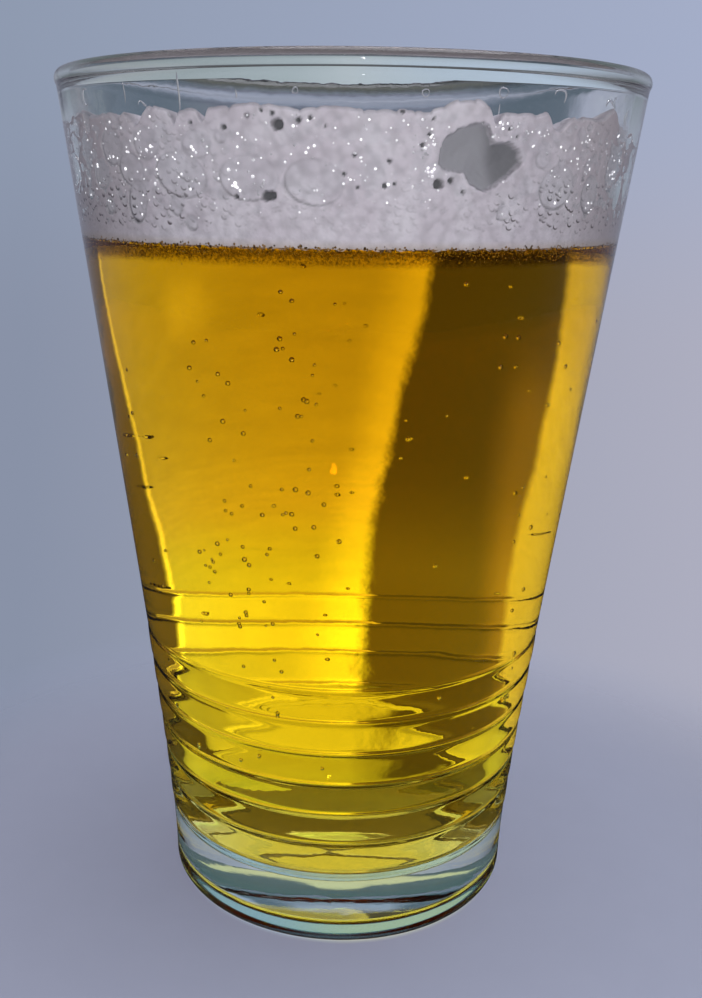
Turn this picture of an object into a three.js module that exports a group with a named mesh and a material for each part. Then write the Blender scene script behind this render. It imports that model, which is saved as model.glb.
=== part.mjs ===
// A pint of lager in its glass: a tall conical tumbler with a rounded rim, six
// shallow pressed bands round its lower third and a thick clear base, filled with
// beer and a collapsing head of foam.
// Millimetres, +Z up, origin at the middle of the foot on the table.
import * as THREE from "three";

// ---- glass: driving sizes -------------------------------------------------
const GLASS_HEIGHT = 142.1;        // foot to the top of the rim
const FOOT_LINE_RADIUS = 29.15;    // outer cone's radius carried down to z = 0
const WALL_SLOPE = 0.1299;         // growth of the radius for each mm of height
const BASE_FLARE = 1.9;            // the thick base stands proud of the cone...
const BASE_FLARE_FADE = 14;        // ...and dies away over this height
const WALL_AT_RIM = 1.9;           // wall thickness just under the rim
const WALL_AT_BASE = 2.7;          // wall thickness just over the base
const FLOOR_HEIGHT = 11.0;         // thickness of the clear base at its edge
const FLOOR_DISH = 0.6;            // the inside floor is this much lower in its middle
const INNER_CORNER = 3.2;          // fillet between the inside wall and the floor
const HEEL_RADIUS = 2.6;           // rounding of the outside bottom edge
const FOOT_RING_INNER = 25.4;      // inner edge of the ring that touches the table
const PUNT_RADIUS = 23.6;          // radius of the shallow recess under the base
const PUNT_DEPTH = 1.5;            // recess at its edge
const PUNT_DOME = 0.7;             // and this much more in its middle
const BEAD_HEIGHT = 2.7;           // the rounded bead round the rim
const BEAD_PROUD = 0.22;           // how far it stands out of the wall, in and out

// ---- ribs -----------------------------------------------------------------
const RIB_COUNT = 6;               // bands with a narrow groove between them
const RIB_FIRST = 14.6;            // height of the lowest groove
const RIB_PITCH = 5.77;            // groove to groove
const RIB_PROUD = 0.12;            // each band's lower edge stands this far out of the cone
const RIB_TAPER = 0.14;            // and its upper edge this much less
const GROOVE_DEPTH = 0.2;          // under the cone's line
const GROOVE_HALF = 0.55;          // half the width of a groove

// ---- contents -------------------------------------------------------------
const BEER_LEVEL = 117.2;          // top of the beer, bottom of the head
const GAP = 0.3;                   // clearance between touching solids
const FOAM_WALL_TOP = 134.7;       // mean height of the head where it clings to the wall
const FOAM_MIDDLE_TOP = 131.6;     // the head has sunk in its middle
const SEGMENTS = 56;               // facets round the axis

// Hollows where the head has pulled away from the wall:
// direction from -Y towards +X in degrees, height, half width, half height, depth
const HOLLOWS = [
  { at: 21, z: 129.4, wide: 7.4, high: 3.7, deep: 5.2 },
  { at: 29, z: 128.6, wide: 4.6, high: 2.6, deep: 4.6 },
  { at: 69, z: 126.6, wide: 4.6, high: 4.2, deep: 2.4 },
  { at: -56, z: 134.8, wide: 3.4, high: 2.6, deep: 2.0 },
  { at: 128, z: 129.8, wide: 5.8, high: 3.2, deep: 3.4 },
  { at: 205, z: 127.4, wide: 6.4, high: 2.9, deep: 3.0 },
];

const coneRadius = (z) => FOOT_LINE_RADIUS + WALL_SLOPE * z;
const outerRadius = (z) => coneRadius(z) + BASE_FLARE * Math.exp(-z / BASE_FLARE_FADE);
const wallThickness = (z) => WALL_AT_BASE + (WALL_AT_RIM - WALL_AT_BASE) * Math.sqrt(z / GLASS_HEIGHT);
const innerRadius = (z) => coneRadius(z) - wallThickness(z);

// Outside from the foot up to the rim, as [radius, height] points.
function outsideProfile() {
  const points = [];
  const heelRadiusAt = outerRadius(HEEL_RADIUS);
  points.push([FOOT_RING_INNER, 0]);
  for (let i = 0; i <= 4; i++) {
    const a = -Math.PI / 2 + (i / 4) * (Math.PI / 2);
    points.push([heelRadiusAt - HEEL_RADIUS + HEEL_RADIUS * Math.cos(a), HEEL_RADIUS + HEEL_RADIUS * Math.sin(a)]);
  }
  points.push([outerRadius(6.5), 6.5], [outerRadius(10.5), 10.5]);
  points.push([outerRadius(RIB_FIRST - GROOVE_HALF), RIB_FIRST - GROOVE_HALF]);
  for (let rib = 0; rib <= RIB_COUNT; rib++) {
    const groove = RIB_FIRST + rib * RIB_PITCH;
    points.push([outerRadius(groove) - GROOVE_DEPTH, groove]);
    const shares = rib < RIB_COUNT ? [GROOVE_HALF, RIB_PITCH / 2, RIB_PITCH - GROOVE_HALF] : [GROOVE_HALF];
    for (const up of shares) {
      const out = rib < RIB_COUNT ? RIB_PROUD - RIB_TAPER * (up / RIB_PITCH) : 0;
      points.push([outerRadius(groove + up) + out, groove + up]);
    }
  }
  return points;
}

// The rounded rim, from the outside over the top to the inside.
function rimProfile() {
  const points = [];
  const middle = GLASS_HEIGHT - BEAD_HEIGHT / 2;
  const outside = outerRadius(middle) + BEAD_PROUD;
  const inside = innerRadius(middle) - BEAD_PROUD;
  const centre = (outside + inside) / 2;
  const half = (outside - inside) / 2;
  const neck = GLASS_HEIGHT - BEAD_HEIGHT - 0.9;
  points.push([outerRadius(neck), neck]);
  for (let i = 0; i <= 8; i++) {
    const a = -0.55 + (i / 8) * (Math.PI + 1.1);
    points.push([centre + half * Math.cos(a), middle + (BEAD_HEIGHT / 2) * Math.sin(a)]);
  }
  points.push([innerRadius(neck), neck]);
  return points;
}

// The inside wall down to the floor and in to the axis.
function insideProfile(clearance) {
  const points = [];
  const cornerZ = FLOOR_HEIGHT + INNER_CORNER + clearance;
  const wall = (z) => innerRadius(z) - clearance;
  for (const z of [96, 60, 30]) points.push([wall(z), z]);
  const cornerR = wall(cornerZ) - INNER_CORNER;
  for (let i = 0; i <= 4; i++) {
    const a = -(i / 4) * (Math.PI / 2);
    points.push([cornerR + INNER_CORNER * Math.cos(a), cornerZ + INNER_CORNER * Math.sin(a)]);
  }
  points.push([cornerR * 0.55, FLOOR_HEIGHT + clearance - FLOOR_DISH * 0.6]);
  points.push([0, FLOOR_HEIGHT + clearance - FLOOR_DISH]);
  return points;
}

function lathe(points) {
  const profile = points.map(([r, z]) => new THREE.Vector2(r, z));
  const geometry = new THREE.LatheGeometry(profile, SEGMENTS);
  geometry.rotateX(Math.PI / 2);   // the lathe turns round Y; stand it up on Z
  return geometry;
}

function makeGlass() {
  const under = [[0, PUNT_DEPTH + PUNT_DOME], [PUNT_RADIUS * 0.6, PUNT_DEPTH + PUNT_DOME * 0.64], [PUNT_RADIUS, PUNT_DEPTH], [PUNT_RADIUS + 1.1, PUNT_DEPTH * 0.45]];
  const points = [...under, ...outsideProfile(), ...rimProfile(), ...insideProfile(0)];
  return lathe(points);
}

function makeBeer() {
  const body = insideProfile(GAP).reverse();
  const points = [...body, [innerRadius(BEER_LEVEL) - GAP, BEER_LEVEL], [0, BEER_LEVEL]];
  return lathe(points);
}

// Height of the head's edge on the wall, all the way round. a is in radians.
function foamEdge(a) {
  return FOAM_WALL_TOP
    + 0.62 * Math.cos(3 * a - 0.9) + 0.5 * Math.cos(7 * a + 1.1)
    + 0.42 * Math.cos(11 * a - 0.4) + 0.3 * Math.cos(17 * a + 2.2)
    - 1.7 * Math.exp(-(((a - 1.12) / 0.2) ** 2));
}

// Lumps of burst and swollen bubbles on the top of the head.
function foamLumps(a, r) {
  return 0.36 * Math.cos(5 * a + 0.16 * r) * Math.sin(0.17 * r)
    + 0.26 * Math.cos(8 * a - 0.31 * r + 1.3) * Math.sin(0.11 * r)
    + 0.2 * Math.cos(13 * a + 0.4) * Math.sin(0.07 * r);
}

function turnFrom(a, degrees) {
  const d = a - THREE.MathUtils.degToRad(degrees);
  return Math.atan2(Math.sin(d), Math.cos(d));
}

function foamDent(a, z) {
  let dent = 0;
  for (const h of HOLLOWS) {
    const across = (turnFrom(a, h.at) * innerRadius(h.z)) / h.wide;
    const up = (z - h.z) / h.high;
    dent = Math.max(dent, h.deep * Math.exp(-((across * across + up * up) ** 1.6)));
  }
  return dent;
}

// The head is a closed skin of rings: floor, side with its hollows, then the top.
function makeFoam() {
  const bottom = BEER_LEVEL + GAP;
  const sideSteps = 8;
  const topShares = [0.965, 0.9, 0.78, 0.62, 0.44, 0.24];
  const positions = [];
  const indices = [];
  const rings = [];
  const addRing = (place) => {
    const first = positions.length / 3;
    for (let i = 0; i < SEGMENTS; i++) {
      const a = (i / SEGMENTS) * 2 * Math.PI;
      const [r, z] = place(a);
      positions.push(r * Math.sin(a), -r * Math.cos(a), z);
    }
    rings.push(first);
  };
  const centreBelow = positions.length / 3;
  positions.push(0, 0, bottom);
  for (let k = 0; k <= sideSteps; k++) {
    addRing((a) => {
      const z = bottom + (foamEdge(a) - bottom) * (k / sideSteps);
      return [innerRadius(z) - GAP - (k === 0 ? 0 : foamDent(a, z)), z];
    });
  }
  for (const share of topShares) {
    addRing((a) => {
      const edge = foamEdge(a);
      const rim = innerRadius(edge) - GAP - foamDent(a, edge);
      const r = rim * share;
      const rise = (edge + 0.5 - FOAM_MIDDLE_TOP) * share ** 5;
      return [r, FOAM_MIDDLE_TOP + rise + foamLumps(a, r)];
    });
  }
  const centreAbove = positions.length / 3;
  positions.push(0, 0, FOAM_MIDDLE_TOP);
  for (let i = 0; i < SEGMENTS; i++) {
    const j = (i + 1) % SEGMENTS;
    indices.push(centreBelow, rings[0] + j, rings[0] + i);
    for (let k = 0; k + 1 < rings.length; k++) {
      const a = rings[k] + i, b = rings[k] + j, c = rings[k + 1] + j, d = rings[k + 1] + i;
      indices.push(a, b, c, a, c, d);
    }
    const last = rings[rings.length - 1];
    indices.push(last + i, last + j, centreAbove);
  }
  const geometry = new THREE.BufferGeometry();
  geometry.setAttribute("position", new THREE.Float32BufferAttribute(positions, 3));
  geometry.setIndex(indices);
  geometry.computeVertexNormals();
  return geometry;
}

const group = new THREE.Group();

function addPiece(name, geometry, look) {
  const mesh = new THREE.Mesh(geometry, new THREE.MeshStandardMaterial(look));
  mesh.name = name;
  group.add(mesh);
}

addPiece("glass", makeGlass(), { color: 0xc9dadd, roughness: 0.03, metalness: 0, transparent: true, opacity: 0.35 });
addPiece("beer", makeBeer(), { color: 0xd09a04, roughness: 0.05, metalness: 0 });
addPiece("foam", makeFoam(), { color: 0xcfc8d2, roughness: 0.7, metalness: 0 });

export default group;
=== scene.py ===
import math

import bpy
import numpy as np
from mathutils import Matrix, Vector


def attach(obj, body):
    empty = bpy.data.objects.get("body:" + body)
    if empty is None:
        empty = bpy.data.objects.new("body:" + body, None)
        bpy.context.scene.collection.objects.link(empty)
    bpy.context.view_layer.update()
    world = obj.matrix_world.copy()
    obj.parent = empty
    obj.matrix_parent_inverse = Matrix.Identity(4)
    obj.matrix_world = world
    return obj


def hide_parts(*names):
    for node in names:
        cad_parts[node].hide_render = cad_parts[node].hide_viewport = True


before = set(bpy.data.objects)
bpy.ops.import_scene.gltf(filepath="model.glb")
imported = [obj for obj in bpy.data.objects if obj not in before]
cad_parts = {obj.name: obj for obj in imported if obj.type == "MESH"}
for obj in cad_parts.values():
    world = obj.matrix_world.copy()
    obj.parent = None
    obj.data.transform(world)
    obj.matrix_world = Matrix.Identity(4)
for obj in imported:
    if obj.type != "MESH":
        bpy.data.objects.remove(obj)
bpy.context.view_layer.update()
MM = 0.001

# ---------------------------------------------------------------------------
# Sizes in millimetres, the same as the CAD model's
# ---------------------------------------------------------------------------
GLASS_HEIGHT = 142.1
FOOT_LINE_RADIUS = 29.15
WALL_SLOPE = 0.1299
BASE_FLARE = 1.9
BASE_FLARE_FADE = 14.0
WALL_AT_RIM = 1.9
WALL_AT_BASE = 2.7
FLOOR_HEIGHT = 11.0
FLOOR_DISH = 0.6
INNER_CORNER = 3.2
HEEL_RADIUS = 2.6
FOOT_RING_INNER = 25.4
PUNT_RADIUS = 23.6
PUNT_DEPTH = 1.5
PUNT_DOME = 0.7
BEAD_HEIGHT = 2.7
BEAD_PROUD = 0.22
RIB_COUNT = 6
RIB_FIRST = 14.6
RIB_PITCH = 5.77
RIB_PROUD = 0.12
RIB_TAPER = 0.14
GROOVE_DEPTH = 0.2
GROOVE_HALF = 0.55
RIB_BULGE = 0.07         # the bands swell a little between their grooves
BEER_LEVEL = 117.2
INTO_WALL = 0.06         # what fills the glass reaches this far into its wall
FOAM_WALL_TOP = 134.9
FOAM_MIDDLE_TOP = 131.6

rng = np.random.default_rng(20417)


def cone_radius(z):
    return FOOT_LINE_RADIUS + WALL_SLOPE * z


def outer_radius(z):
    return cone_radius(z) + BASE_FLARE * np.exp(-np.asarray(z, float) / BASE_FLARE_FADE)


def wall_thickness(z):
    return WALL_AT_BASE + (WALL_AT_RIM - WALL_AT_BASE) * np.sqrt(np.asarray(z, float) / GLASS_HEIGHT)


def inner_radius(z):
    return cone_radius(z) - wall_thickness(z)


# ---------------------------------------------------------------------------
# Mesh helpers
# ---------------------------------------------------------------------------
def mesh_object(name, verts_mm, quads=None, tris=None, smooth=True, material=None):
    """A mesh object from arrays: vertices in millimetres, quads (n, 4) and triangles (m, 3)."""
    quads = np.zeros((0, 4), np.int32) if quads is None else np.asarray(quads, np.int32).reshape(-1, 4)
    tris = np.zeros((0, 3), np.int32) if tris is None else np.asarray(tris, np.int32).reshape(-1, 3)
    verts = np.asarray(verts_mm, np.float32) * np.float32(MM)
    mesh = bpy.data.meshes.new(name)
    mesh.vertices.add(len(verts))
    mesh.vertices.foreach_set("co", verts.ravel())
    loops = np.concatenate([quads.ravel(), tris.ravel()])
    mesh.loops.add(len(loops))
    mesh.loops.foreach_set("vertex_index", loops)
    starts = np.concatenate([np.arange(len(quads)) * 4, len(quads) * 4 + np.arange(len(tris)) * 3])
    mesh.polygons.add(len(quads) + len(tris))
    mesh.polygons.foreach_set("loop_start", starts.astype(np.int32))
    mesh.polygons.foreach_set("use_smooth", np.full(len(quads) + len(tris), smooth))
    mesh.update(calc_edges=True)
    mesh.validate()
    obj = bpy.data.objects.new(name, mesh)
    bpy.context.scene.collection.objects.link(obj)
    if material is not None:
        mesh.materials.append(material)
    return obj


def revolve(profile, segments):
    """Vertices, quads and triangles of a closed surface of revolution. The profile runs from the axis to the axis,
    anticlockwise seen with r to the right and z up, so that the faces look out."""
    profile = np.asarray(profile, float)
    inner = profile[1:-1]
    n, m = len(inner), segments
    a = np.arange(m) / m * 2 * math.pi
    ring = np.stack([np.sin(a), -np.cos(a)], 1)
    verts = np.concatenate([
        np.stack([inner[:, None, 0] * ring[None, :, 0], inner[:, None, 0] * ring[None, :, 1],
                  np.repeat(inner[:, 1:2], m, 1)], 2).reshape(-1, 3),
        [[0, 0, profile[0, 1]], [0, 0, profile[-1, 1]]]])
    i, j = np.meshgrid(np.arange(n - 1), np.arange(m), indexing="ij")
    k = (j + 1) % m
    quads = np.stack([i * m + j, i * m + k, (i + 1) * m + k, (i + 1) * m + j], -1).reshape(-1, 4)
    j = np.arange(m)
    k = (j + 1) % m
    first, last = n * m, n * m + 1
    tris = np.concatenate([np.stack([np.full(m, first), k, j], 1),
                           np.stack([(n - 1) * m + j, (n - 1) * m + k, np.full(m, last)], 1)])
    return verts, quads, tris


def icosphere(subdivisions):
    """Unit icosphere as vertices and triangles."""
    t = (1 + 5 ** 0.5) / 2
    verts = [(-1, t, 0), (1, t, 0), (-1, -t, 0), (1, -t, 0), (0, -1, t), (0, 1, t), (0, -1, -t), (0, 1, -t),
             (t, 0, -1), (t, 0, 1), (-t, 0, -1), (-t, 0, 1)]
    faces = [(0, 11, 5), (0, 5, 1), (0, 1, 7), (0, 7, 10), (0, 10, 11), (1, 5, 9), (5, 11, 4), (11, 10, 2),
             (10, 7, 6), (7, 1, 8), (3, 9, 4), (3, 4, 2), (3, 2, 6), (3, 6, 8), (3, 8, 9), (4, 9, 5), (2, 4, 11),
             (6, 2, 10), (8, 6, 7), (9, 8, 1)]
    verts = [np.array(v, float) / np.linalg.norm(v) for v in verts]
    for _ in range(subdivisions):
        middle, new = {}, []

        def mid(a, b):
            key = (min(a, b), max(a, b))
            if key not in middle:
                p = verts[a] + verts[b]
                verts.append(p / np.linalg.norm(p))
                middle[key] = len(verts) - 1
            return middle[key]

        for a, b, c in faces:
            ab, bc, ca = mid(a, b), mid(b, c), mid(c, a)
            new += [(a, ab, ca), (b, bc, ab), (c, ca, bc), (ab, bc, ca)]
        faces = new
    return np.array(verts), np.array(faces, np.int32)


def spheres(name, centres, radii, subdivisions=1, squash=None, material=None):
    """Many small balls joined into one mesh. squash gives each ball's three half sizes as shares of its radius."""
    unit, faces = icosphere(subdivisions)
    centres, radii = np.asarray(centres, float), np.asarray(radii, float)
    shape = np.ones((len(centres), 3)) if squash is None else np.asarray(squash, float)
    verts = centres[:, None, :] + unit[None] * radii[:, None, None] * shape[:, None, :]
    tris = faces[None] + (np.arange(len(centres)) * len(unit))[:, None, None]
    return mesh_object(name, verts.reshape(-1, 3), tris=tris.reshape(-1, 3), material=material)


def on_wall(phi, z, depth=0.0):
    """A point depth mm inside the glass's inner wall. phi in radians from -Y towards +X."""
    r = inner_radius(z) - depth
    return np.stack([r * np.sin(phi), -r * np.cos(phi), np.broadcast_to(z, np.shape(phi))], -1)


# ---------------------------------------------------------------------------
# Node helpers
# ---------------------------------------------------------------------------
def new_material(name):
    mat = bpy.data.materials.new(name)
    mat.use_nodes = True
    mat.node_tree.nodes.clear()
    return mat, mat.node_tree


def node(tree, kind, inputs=None, **settings):
    n = tree.nodes.new(kind)
    for key, value in settings.items():
        setattr(n, key, value)
    for key, value in (inputs or {}).items():
        if isinstance(value, bpy.types.NodeSocket):
            tree.links.new(value, n.inputs[key])
        else:
            n.inputs[key].default_value = value
    return n


def maths(tree, operation, a, b=None, c=None, clamp=False):
    n = tree.nodes.new("ShaderNodeMath")
    n.operation, n.use_clamp = operation, clamp
    for i, value in enumerate((a, b, c)):
        if isinstance(value, bpy.types.NodeSocket):
            tree.links.new(value, n.inputs[i])
        elif value is not None:
            n.inputs[i].default_value = value
    return n.outputs[0]


def map_range(tree, value, low, high, to_low=0.0, to_high=1.0, smooth=True):
    n = node(tree, "ShaderNodeMapRange", interpolation_type="SMOOTHSTEP" if smooth else "LINEAR")
    tree.links.new(value, n.inputs[0])
    for i, v in enumerate((low, high, to_low, to_high)):
        n.inputs[i + 1].default_value = v
    return n.outputs[0]


def mix_colour(tree, factor, a, b, blend="MIX"):
    n = node(tree, "ShaderNodeMix", data_type="RGBA", blend_type=blend)
    for socket, value in ((n.inputs[0], factor), (n.inputs[6], a), (n.inputs[7], b)):
        if isinstance(value, bpy.types.NodeSocket):
            tree.links.new(value, socket)
        elif isinstance(value, (int, float)):
            socket.default_value = value
        else:
            socket.default_value = (*value, 1.0)[:4]
    return n.outputs[2]


def ramp(tree, factor, stops, interpolation="LINEAR"):
    n = node(tree, "ShaderNodeValToRGB")
    r = n.color_ramp
    r.interpolation = interpolation
    while len(r.elements) > 1:
        r.elements.remove(r.elements[-1])
    for i, (at, colour) in enumerate(stops):
        e = r.elements[0] if i == 0 else r.elements.new(at)
        e.position = at
        e.color = (*colour, 1.0)[:4] if hasattr(colour, "__len__") else (colour, colour, colour, 1.0)
    tree.links.new(factor, n.inputs[0])
    return n.outputs[0]


# ---------------------------------------------------------------------------
# Camera: the photograph's frame is 702 x 998
# ---------------------------------------------------------------------------
PITCH, ROLL, YAW = math.radians(15.38), math.radians(0.76), math.radians(-1.14)
FOCAL_PX = 1141.0
forward = Vector((math.sin(YAW) * math.cos(PITCH), math.cos(YAW) * math.cos(PITCH), -math.sin(PITCH)))
right0 = Vector((math.cos(YAW), -math.sin(YAW), 0.0))
up0 = right0.cross(forward)
right = math.cos(ROLL) * right0 + math.sin(ROLL) * up0
up = -math.sin(ROLL) * right0 + math.cos(ROLL) * up0
camera_data = bpy.data.cameras.new("camera")
camera_data.sensor_width = 36.0
camera_data.lens = FOCAL_PX / 998.0 * 36.0
camera_data.shift_x = (351.0 - 322.0) / 998.0
camera_data.shift_y = (495.0 - 499.0) / 998.0
camera_data.clip_start, camera_data.clip_end = 0.005, 50.0
camera_data.dof.use_dof = False
camera = bpy.data.objects.new("camera", camera_data)
bpy.context.scene.collection.objects.link(camera)
turn = Matrix((right, up, -forward)).transposed().to_4x4()
camera.matrix_world = Matrix.Translation(Vector((0.0, -0.19834, 0.12582))) @ turn
bpy.context.scene.camera = camera

# ---------------------------------------------------------------------------
# Materials
# ---------------------------------------------------------------------------
BEER_ABSORB = (3.0, 12.5, 75.0)      # per metre, for red, green and blue


def through_shadows(tree, shader, tint):
    """Lets lamps shine through a clear surface, tinted."""
    path = node(tree, "ShaderNodeLightPath")
    clear = node(tree, "ShaderNodeBsdfTransparent", {"Color": (*tint, 1.0)})
    return node(tree, "ShaderNodeMixShader", {0: path.outputs["Is Shadow Ray"], 1: shader, 2: clear.outputs[0]}).outputs[0]


def make_glass_material(name, wet):
    mat, t = new_material(name)
    where = node(t, "ShaderNodeTexCoord").outputs["Object"]
    # the faint waviness of pressed glass
    slow = node(t, "ShaderNodeTexNoise", {"Vector": where, "Scale": 70.0, "Detail": 1.5, "Roughness": 0.45})
    fine = node(t, "ShaderNodeTexNoise", {"Vector": where, "Scale": 420.0, "Detail": 2.0, "Roughness": 0.5})
    height = maths(t, "MULTIPLY_ADD", fine.outputs["Fac"], 0.06, slow.outputs["Fac"])
    bump = node(t, "ShaderNodeBump", {"Strength": 0.1, "Distance": 0.001, "Height": height})
    z = node(t, "ShaderNodeSeparateXYZ", {0: where}).outputs[2]
    # the thick base shows the colour of the glass
    thick = map_range(t, z, 0.016, 0.004)
    tint = mix_colour(t, thick, (0.985, 0.992, 0.992), (0.74, 0.92, 0.93))
    tint = mix_colour(t, map_range(t, z, 0.0036, 0.0016), tint, (0.50, 0.82, 0.80))
    # painted shade: the very top of the rim bead is painted dark grey-brown, a painted dark line along the rim's edge
    tint = mix_colour(t, map_range(t, z, 0.1406, 0.1413), tint, (0.30, 0.285, 0.25))
    p = node(t, "ShaderNodeBsdfPrincipled", {
        "Base Color": tint, "Roughness": 0.0, "IOR": 1.5, "Transmission Weight": 1.0,
        "Normal": bump.outputs[0]})
    if wet:                             # liquid on the wall takes its reflection away
        p.inputs["Specular Tint"].default_value = (0.0, 0.0, 0.0, 1.0)
    shader = through_shadows(t, p.outputs[0], (0.97, 0.98, 0.98))
    node(t, "ShaderNodeOutputMaterial", {"Surface": shader})
    return mat


glass_dry = make_glass_material("glass_clear", False)
glass_wet = make_glass_material("glass_wetted", True)


def make_beer_material():
    mat, t = new_material("beer")
    where = node(t, "ShaderNodeTexCoord").outputs["Object"]
    z = node(t, "ShaderNodeSeparateXYZ", {0: where}).outputs[2]
    # the cloudy layer of fine gas right under the head
    grain = node(t, "ShaderNodeTexNoise", {"Vector": where, "Scale": 2600.0, "Detail": 2.0}).outputs["Fac"]
    ragged = node(t, "ShaderNodeTexNoise", {"Vector": where, "Scale": 300.0, "Detail": 3.0}).outputs["Fac"]
    level = maths(t, "MULTIPLY_ADD", ragged, 0.0008, z)
    under = map_range(t, level, 0.1147, 0.1158)
    shade = mix_colour(t, map_range(t, grain, 0.3, 0.7), (0.12, 0.085, 0.05), (0.62, 0.52, 0.36))
    colour = mix_colour(t, under, (1.0, 1.0, 1.0), shade)
    wave = node(t, "ShaderNodeTexNoise", {"Vector": where, "Scale": 55.0, "Detail": 1.0}).outputs["Fac"]
    bump = node(t, "ShaderNodeBump", {"Strength": 0.06, "Distance": 0.001, "Height": wave})
    p = node(t, "ShaderNodeBsdfPrincipled", {
        "Base Color": colour, "Roughness": 0.0, "IOR": 1.34, "Transmission Weight": 1.0,
        "Specular Tint": (0.0, 0.0, 0.0, 1.0), "Normal": bump.outputs[0]})
    shader = through_shadows(t, p.outputs[0], (0.95, 0.62, 0.08))
    out = node(t, "ShaderNodeOutputMaterial", {"Surface": shader})
    density = max(BEER_ABSORB)
    absorb = node(t, "ShaderNodeVolumeAbsorption", {
        "Color": (*[1.0 - s / density for s in BEER_ABSORB], 1.0), "Density": density})
    t.links.new(absorb.outputs[0], out.inputs["Volume"])
    return mat


beer_material = make_beer_material()


def make_gas_material():
    mat, t = new_material("gas_bubble")
    glass = node(t, "ShaderNodeBsdfGlass", {"Color": (1.0, 1.0, 1.0, 1.0), "Roughness": 0.0, "IOR": 1.0 / 1.34})
    shader = through_shadows(t, glass.outputs[0], (0.9, 0.9, 0.9))
    node(t, "ShaderNodeOutputMaterial", {"Surface": shader})
    return mat


gas_material = make_gas_material()


def make_bead_material():
    mat, t = new_material("wet_bead")
    where = node(t, "ShaderNodeTexCoord").outputs["Object"]
    tone = node(t, "ShaderNodeTexNoise", {"Vector": where, "Scale": 1500.0, "Detail": 1.0}).outputs["Fac"]
    colour = mix_colour(t, map_range(t, tone, 0.35, 0.65), (0.05, 0.025, 0.006), (0.34, 0.20, 0.08))
    p = node(t, "ShaderNodeBsdfPrincipled", {"Base Color": colour, "Roughness": 0.2, "IOR": 1.34, "Coat Weight": 0.5})
    node(t, "ShaderNodeOutputMaterial", {"Surface": p.outputs[0]})
    return mat


bead_material = make_bead_material()


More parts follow.
